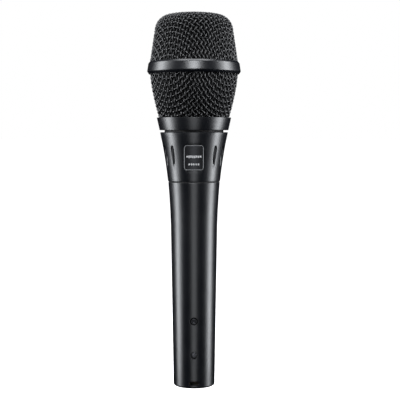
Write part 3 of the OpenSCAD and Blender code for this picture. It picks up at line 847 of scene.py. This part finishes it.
def make_collar():
    lo, hi = low("collar").z, high("collar").z
    seam_z = high("seam_washer").z
    shoulder_z = low("neck_gasket").z
    side = flank("collar", seam_z, shoulder_z - 0.3 * MM)
    spigot_r = min(radii("seam_washer")[0]) - 0.1 * MM - THREAD_DEPTH
    neck_r = min(radii("neck_gasket")[0]) - 0.1 * MM - THREAD_DEPTH
    bore_r = high("shock_mount").x
    small_bore = high("contact_board").x
    foot_r, top_r = side[0][0], side[-1][0]
    profile = [(small_bore, lo), (spigot_r - 0.2 * MM, lo), (spigot_r, lo + 0.3 * MM),
               (spigot_r, seam_z - 0.5 * MM), (spigot_r + THREAD_DEPTH, seam_z),
               (foot_r - EDGE, seam_z), (foot_r - 0.05 * MM, seam_z + 0.1 * MM),
               (foot_r + 0.03 * MM, seam_z + EDGE * 1.4),
               *side[1:-1],
               (top_r, shoulder_z - EDGE), (top_r - EDGE, shoulder_z - 0.03 * MM),
               (top_r - EDGE * 2, shoulder_z),
               (neck_r + THREAD_DEPTH, shoulder_z),
               (neck_r + THREAD_DEPTH, shoulder_z + 1.6 * MM),
               (neck_r, shoulder_z + 2 * MM), (neck_r, hi - 0.3 * MM), (neck_r - 0.3 * MM, hi),
               (bore_r, hi), (bore_r, lo + BORE_HEIGHTS[1]), (small_bore, lo + BORE_HEIGHTS[0])]
    collar = lathe("vented_collar", profile)

    # Ball-ended scoops with a slit in each, all round but for the nameplate's place
    pitch = (2 * math.pi - 2 * PORT_FIRST) / (PORT_COUNT - 1)
    top_z = lo + PORT_TOP
    scoops, slits = [], []
    for i in range(PORT_COUNT):
        a = PORT_FIRST + i * pitch - math.pi / 2
        scoop = lathe("scoop", [(0, lo), (PORT_R, lo)]
                      + [(PORT_R * math.cos(t), top_z - PORT_R + PORT_R * math.sin(t))
                         for t in np.linspace(0, math.pi / 2, 9)[:-1]] + [(0, top_z)],
                      PORT_SIDES)
        scoop.data.transform(Matrix.Translation((PORT_AXIS_R * math.cos(a),
                                                 PORT_AXIS_R * math.sin(a), 0)))
        scoops.append(scoop)
        slits.append(block("slit", (SLIT_RADII[0], -SLIT_WIDTH / 2, lo + SLIT_HEIGHTS[0]),
                           (SLIT_RADII[1], SLIT_WIDTH / 2, lo + SLIT_HEIGHTS[1]),
                           Matrix.Rotation(a, 3, "Z")))
    cut(collar, join("scoops", *scoops), join("slits", *slits))

    # Recess for the nameplate, following the flank at a constant depth
    plate_lo, plate_hi = low("nameplate"), high("nameplate")
    middle = (plate_lo.z + plate_hi.z) / 2
    width = plate_hi.x - plate_lo.x
    height = plate_hi.z - plate_lo.z
    margin = 2 * RECESS_MARGIN
    recess = curved_plate("recess", side, middle, width + margin, height + margin,
                          PLATE_CORNER + RECESS_MARGIN, -PLATE_RECESS, CUT_REACH)
    groove = curved_plate("groove", side, middle, width + margin, height + margin,
                          PLATE_CORNER + RECESS_MARGIN, -GROOVE_DEPTH, CUT_REACH)
    core = curved_plate("core", side, middle, width, height, PLATE_CORNER,
                        -CORE_REACH, CORE_REACH)
    cut(groove, core)
    cut(collar, recess, groove)
    bevel(collar, SHELL_BEVEL, SHELL_ANGLE)
    finish_piece(collar, "collar", "handle_paint", PAINT, "collar")

    # Each ridge stops short of the ends of its wall
    for name, r, z0, z1 in (("spigot_thread", spigot_r, lo + 0.8 * MM, seam_z - 1.2 * MM),
                            ("neck_thread", neck_r, shoulder_z + 2.4 * MM, hi - 0.8 * MM)):
        finish_piece(thread(name, r, z0, z1, True), "collar", "handle_paint", PAINT)
    make_nameplate(side, middle, width, height)


def side_radius(side, z):
    """Radius of the collar's flank at a height."""
    return float(np.interp(z, [p[1] for p in side], [p[0] for p in side]))


def curved_plate(name, side, middle, w, h, corner, depth_in, depth_out):
    """A plate bent to the collar's side, between two offsets from it."""
    outline_xz = fillet_loop(plate_outline(w, h, corner), corner * 0.5)
    columns, rows = 36, 30
    verts, faces, grid = [], [], {}
    for offset in (depth_in, depth_out):
        for i in range(columns + 1):
            x = -w / 2 + w * i / columns
            top = edge_height(outline_xz, x)
            for j in range(rows + 1):
                z = middle + top * (2 * j / rows - 1)
                r = side_radius(side, z) + offset
                grid[offset, i, j] = len(verts)
                verts.append((x, -math.sqrt(r * r - x * x), z))
    for i in range(columns):
        for j in range(rows):
            for offset in (depth_in, depth_out):
                faces.append([grid[offset, i, j], grid[offset, i + 1, j],
                              grid[offset, i + 1, j + 1], grid[offset, i, j + 1]])
    for i in range(columns):
        for j in (0, rows):
            faces.append([grid[depth_in, i, j], grid[depth_in, i + 1, j],
                          grid[depth_out, i + 1, j], grid[depth_out, i, j]])
    for j in range(rows):
        for i in (0, columns):
            faces.append([grid[depth_in, i, j], grid[depth_in, i, j + 1],
                          grid[depth_out, i, j + 1], grid[depth_out, i, j]])
    obj = new_piece(name, verts, faces)
    face_outwards(obj)
    return obj


def fillet_loop(points, radius):
    """A closed outline with its corners rounded."""
    return fillet([points[-1], *points, points[0]], radius)[1:-1]


def edge_height(outline_xz, x):
    """Half the height of a symmetric outline at x."""
    right = sorted((px, pz) for px, pz in outline_xz if pz > 0)
    return float(np.interp(x, [p[0] for p in right], [p[1] for p in right]))


def make_nameplate(side, middle, width, height):
    plate = curved_plate("nameplate_face", side, middle, width, height, PLATE_CORNER,
                         -PLATE_RECESS, -PLATE_SINK)
    finish_piece(plate, "collar", "plate_metal", PLATE, "nameplate")
    border = curved_plate("nameplate_border", side, middle, width, height, PLATE_CORNER,
                          -PLATE_RECESS, -BORDER_SINK)
    rim = 2 * BORDER_WIDTH
    window = curved_plate("window", side, middle, width - rim, height - rim,
                          PLATE_CORNER - BORDER_WIDTH, -CUT_REACH, CUT_REACH)
    cut(border, window)
    bevel(border, 0.06 * MM)
    finish_piece(border, "collar", "plate_metal", BORDER)

    # A plain sound-level motif: upright bars, and a row of short dashes below them
    bars = [tall * MM for tall in (1.0, 1.5, 1.2, 1.6, 1.6, 1.2, 1.5, 1.0)]
    dashes = [1.0 * MM] * 5
    marks = (row_of_marks(side, middle + 0.6 * MM, bars, 1.0 * MM, 0.76 * MM)
             + row_of_marks(side, middle - 3.5 * MM, dashes, 1.2 * MM, 0.8 * MM))
    finish_piece(join("nameplate_mark", *marks), "collar", "plate_metal", MARK)


def row_of_marks(side, z, heights, pitch, width):
    """Raised blocks of the given heights in a row, about the nameplate's middle line."""
    middle = (len(heights) - 1) / 2
    return [relief(side, (i - middle) * pitch, z, width, height)
            for i, height in enumerate(heights)]


def relief(side, x, z, w, h):
    """A small raised block on the nameplate."""
    r = side_radius(side, z)
    y = -math.sqrt(r * r - x * x)
    lean = Matrix.Rotation(math.asin(x / r), 3, "Z")
    obj = block("mark", (x - w / 2, y + MARK_SINK, z - h / 2),
                (x + w / 2, y + MARK_FOOT, z + h / 2), lean, (x, y, z))
    bevel(obj, 0.05 * MM)
    return obj


# ---- handle -----------------------------------------------------------------

def make_handle():
    top = high("handle").z
    shell = outline("handle")
    bore = high("xlr_insert").x + 0.1 * MM
    mouth = min(radii("seam_washer")[0]) + THREAD_DEPTH
    tail = [p for p in shell if p[1] < TAIL_ROUND]
    side = smooth_curve([tail[-1], *[p for p in shell if TAIL_ROUND < p[1]]], 5)
    mouth_end = top - MOUTH_DEPTH - MOUTH_STEP
    profile = [(bore + 0.15 * MM, 0), *tail[:-1], *side[:-1],
               (side[-1][0] - 0.05 * MM, top - 0.1 * MM), (side[-1][0] - EDGE, top),
               (mouth - THREAD_DEPTH + 0.2 * MM, top), (mouth, top - 0.5 * MM),
               (mouth, top - MOUTH_DEPTH), (mouth - 0.4 * MM, mouth_end), (bore, mouth_end),
               (bore, 0.15 * MM)]
    handle = lathe("handle_shell", profile)
    screw_z = (low("board_screw").z + high("board_screw").z) / 2
    lock_z = (low("set_screw").z + high("set_screw").z) / 2
    recess_y = high("board_screw_washer").y
    front, back = OPENING_FRONT, OPENING_BACK
    cut(handle,
        rod("recess", SCREW_RECESS_R, (0, front, screw_z), (0, recess_y, screw_z)),
        rod("hole", SCREW_HOLE_R, (0, front, screw_z), (0, back, screw_z)),
        rod("lock_hole", LOCK_HOLE_R, (0, front, lock_z), (0, back, lock_z)),
        block("latch", (-LATCH_HALF_WIDTH, front, LATCH_HEIGHTS[0]),
              (LATCH_HALF_WIDTH, back, LATCH_HEIGHTS[1])))
    bevel(handle, SHELL_BEVEL, SHELL_ANGLE)
    finish_piece(handle, "handle", "handle_paint", PAINT, "handle")
    inner_thread = thread("mouth_thread", mouth, top - 7.2 * MM, top - 1.1 * MM, False)
    finish_piece(inner_thread, "handle", "handle_paint", PAINT)


def make_screws():
    """Cross-head and slotted screws and the washer, softened from their CAD shapes."""
    cross = softened("board_screw", 0.07 * MM)
    finish_piece(cross, "board_screw", "screw_black", SCREW, "board_screw")
    washer = softened("board_screw_washer", 0.04 * MM)
    finish_piece(washer, "screw_washer", "screw_black", WASHER, "board_screw_washer")
    slotted = softened("set_screw", 0.08 * MM)
    finish_piece(slotted, "set_screw", "screw_black", SLOTTED, "set_screw")


# ---- rings and leads --------------------------------------------------------

def make_rings():
    for node, name in (("neck_gasket", "neck_seal"), ("seam_washer", "seam_seal")):
        r_in, r_out = min(radii(node)[0]), high(node).x
        z0, z1 = low(node).z, high(node).z
        middle = (z0 + z1) / 2
        seal = lathe(name, fillet([(r_in, middle), (r_in, z0), (r_out, z0), (r_out, z1),
                                   (r_in, z1), (r_in, middle)], 0.2 * MM)[:-1])
        finish_piece(seal, node, "gasket_rubber", RUBBER, node)


def make_capsule_leads():
    """Leads from the contact board to the capsule, which floats in its mount: the CAD leads,
    shaded and given a material.
    """
    leads = bpy.data.objects.new("flexing_leads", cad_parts["capsule_leads"].data.copy())
    bpy.context.scene.collection.objects.link(leads)
    shade(leads)
    leads.data.materials.clear()
    leads.data.materials.append(LEAD_GREY)
    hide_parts("capsule_leads")
    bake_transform(leads)


# ---- the other CAD nodes ----------------------------------------------------

# Copied with their edges rounded: body, slot, material and width of the rounding
SOFT_NODES = {
    "xlr_insert": ("handle", "connector_plastic", INSERT, 0.15 * MM),
    "xlr_pin_1": ("handle", "contact_gold", GOLD, 0.05 * MM),
    "xlr_pin_2": ("handle", "contact_gold", GOLD, 0.05 * MM),
    "xlr_pin_3": ("handle", "contact_gold", GOLD, 0.05 * MM),
    "board_frame": ("handle", "frame_plastic", SLED, 0.12 * MM),
    "contact_block": ("handle", "frame_plastic", SLED, 0.15 * MM),
    "spring_contacts": ("handle", "contact_gold", GOLD, 0.05 * MM),
    "board_capacitors": ("handle", "can_sleeve", SLEEVE, 0.2 * MM),
    "board_transistors": ("handle", "component_black", EPOXY, 0.12 * MM),
    "capsule_housing": ("capsule", "capsule_metal", ALLOY, 0.1 * MM),
    "capsule_cap": ("capsule", "capsule_metal", ALLOY, 0.08 * MM),
    "capsule_parts": ("capsule", "component_black", EPOXY, 0.12 * MM),
    "band_inner_ring": ("grille", "ring_paint", RING_PAINT, 0.15 * MM),
    "shock_mount": ("collar", "gasket_rubber", RUBBER, 0.12 * MM),
}

# Kept as they are, and given a material
PLAIN_NODES = {
    "preamp_board": BOARD, "board_resistors": RESISTOR, "connector_leads": LEAD_RED,
    "contact_leads": LEAD_BLUE, "lock_pellet": PALE, "port_screen": CLOTH,
    "contact_board": BOARD, "contact_rings": GOLD, "board_retainer": SPRING_STEEL,
    "capsule_screen": CLOTH, "diaphragm_ring": BRASS,
    "diaphragm": FILM, "diaphragm_spacer": PALE, "backplate": BRASS,
    "backplate_insulator": PALE, "capsule_board": BOARD,
}


def dress_nodes():
    for node, (body, slot, material, width) in SOFT_NODES.items():
        finish_piece(softened(node, width), body, slot, material, node)
    for node, material in PLAIN_NODES.items():
        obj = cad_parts[node]
        for index in range(len(obj.material_slots)):
            obj.material_slots[index].material = material


# ---- studio -----------------------------------------------------------------

CAMERA_DISTANCE = 0.561
CAMERA_HEIGHT = 0.1343
CAMERA_ASIDE = 0.0032
CAMERA_TILT = math.atan(0.0614)
SENSOR_WIDTH = 36
FOCAL_WIDTHS = 2.6225          # focal length as a multiple of the sensor's width
LIGHT_TINT = (0.94, 0.965, 1.0)
FLOOR_REACH = 30.0
FLOOR_GLOW = 1.2
SHADE_PATCH_SHARE = 0.72             # of the handle's widest radius, kept dark under the tail as painted shade


def area_light(name, at, aim, width, height, radiance):
    """Soft rectangular light of a given brightness, which the camera doesn't see."""
    data = bpy.data.lights.new(name, "AREA")
    data.shape = "RECTANGLE"
    data.size = width
    data.size_y = height
    data.energy = radiance * math.pi * width * height
    data.color = LIGHT_TINT
    obj = bpy.data.objects.new(name, data)
    obj.location = at
    obj.rotation_euler = (Vector(aim) - Vector(at)).to_track_quat("-Z", "Y").to_euler()
    obj.visible_camera = False
    bpy.context.scene.collection.objects.link(obj)


def make_studio():
    scene = bpy.context.scene
    camera = bpy.data.objects.new("camera", bpy.data.cameras.new("camera"))
    camera.data.sensor_width = SENSOR_WIDTH
    camera.data.lens = SENSOR_WIDTH * FOCAL_WIDTHS
    camera.data.clip_start = 0.01
    camera.location = (CAMERA_ASIDE, -CAMERA_DISTANCE, CAMERA_HEIGHT)
    camera.rotation_euler = (math.pi / 2 - CAMERA_TILT, 0, 0)
    scene.collection.objects.link(camera)
    scene.camera = camera

    middle = (0, 0, 0.1)
    side_aim = (0, 0, 0.15)
    for side in (-1, 1):
        area_light("side_strip", (side * 0.5, -0.02, 0.22), side_aim, 0.16, 0.74, 5.6)
        area_light("side_fill", (side * 0.5, -0.03, 0.22), side_aim, 0.38, 0.74, 2.5)
    area_light("front_low", (0, -0.5, 0.035), middle, 0.2, 0.42, 1.42)
    area_light("front_high", (0, -0.6, 0.42), (0, 0, 0.17), 0.26, 0.2, 12.5)
    area_light("overhead", (0, 0.0, 0.75), middle, 0.5, 0.4, 5.0)

    # The floor glows, so that it stays white, except for a patch of painted shade under the
    # handle's tail, where it doesn't glow
    far = FLOOR_REACH
    floor = new_piece("floor", [(-far, -far, 0), (far, -far, 0), (far, far, 0), (-far, far, 0)],
                      [[0, 1, 2, 3]])
    look = Look("floor_paper", (0.93, 0.93, 0.93), 0.9)
    look.set("Emission Color", (1, 1, 1, 1))
    shade_patch_r = high("handle").x * SHADE_PATCH_SHARE
    from_axis = look.node("ShaderNodeVectorMath", operation="LENGTH")
    look.link(look.place, from_axis.inputs[0])
    glow = look.spread(from_axis.outputs["Value"], 0, FLOOR_GLOW, shade_patch_r * 0.95, shade_patch_r)
    look.link(glow, look.shader.inputs["Emission Strength"])
    look.rough(look.noise(0.02, 2), 0.85, 0.95)
    floor.data.materials.append(look.material)
    floor.visible_glossy = False
    floor.visible_diffuse = False

    world = bpy.data.worlds.new("studio")
    scene.world = world
    world.use_nodes = True
    background = world.node_tree.nodes["Background"]
    background.inputs["Color"].default_value = (1, 1, 1, 1)
    background.inputs["Strength"].default_value = 1.0
    world.cycles_visibility.glossy = False
    world.cycles_visibility.diffuse = False
    scene.view_settings.view_transform = "Standard"


make_studio()
make_grille()
make_collar()
make_handle()
make_screws()
make_rings()
make_capsule_leads()
dress_nodes()
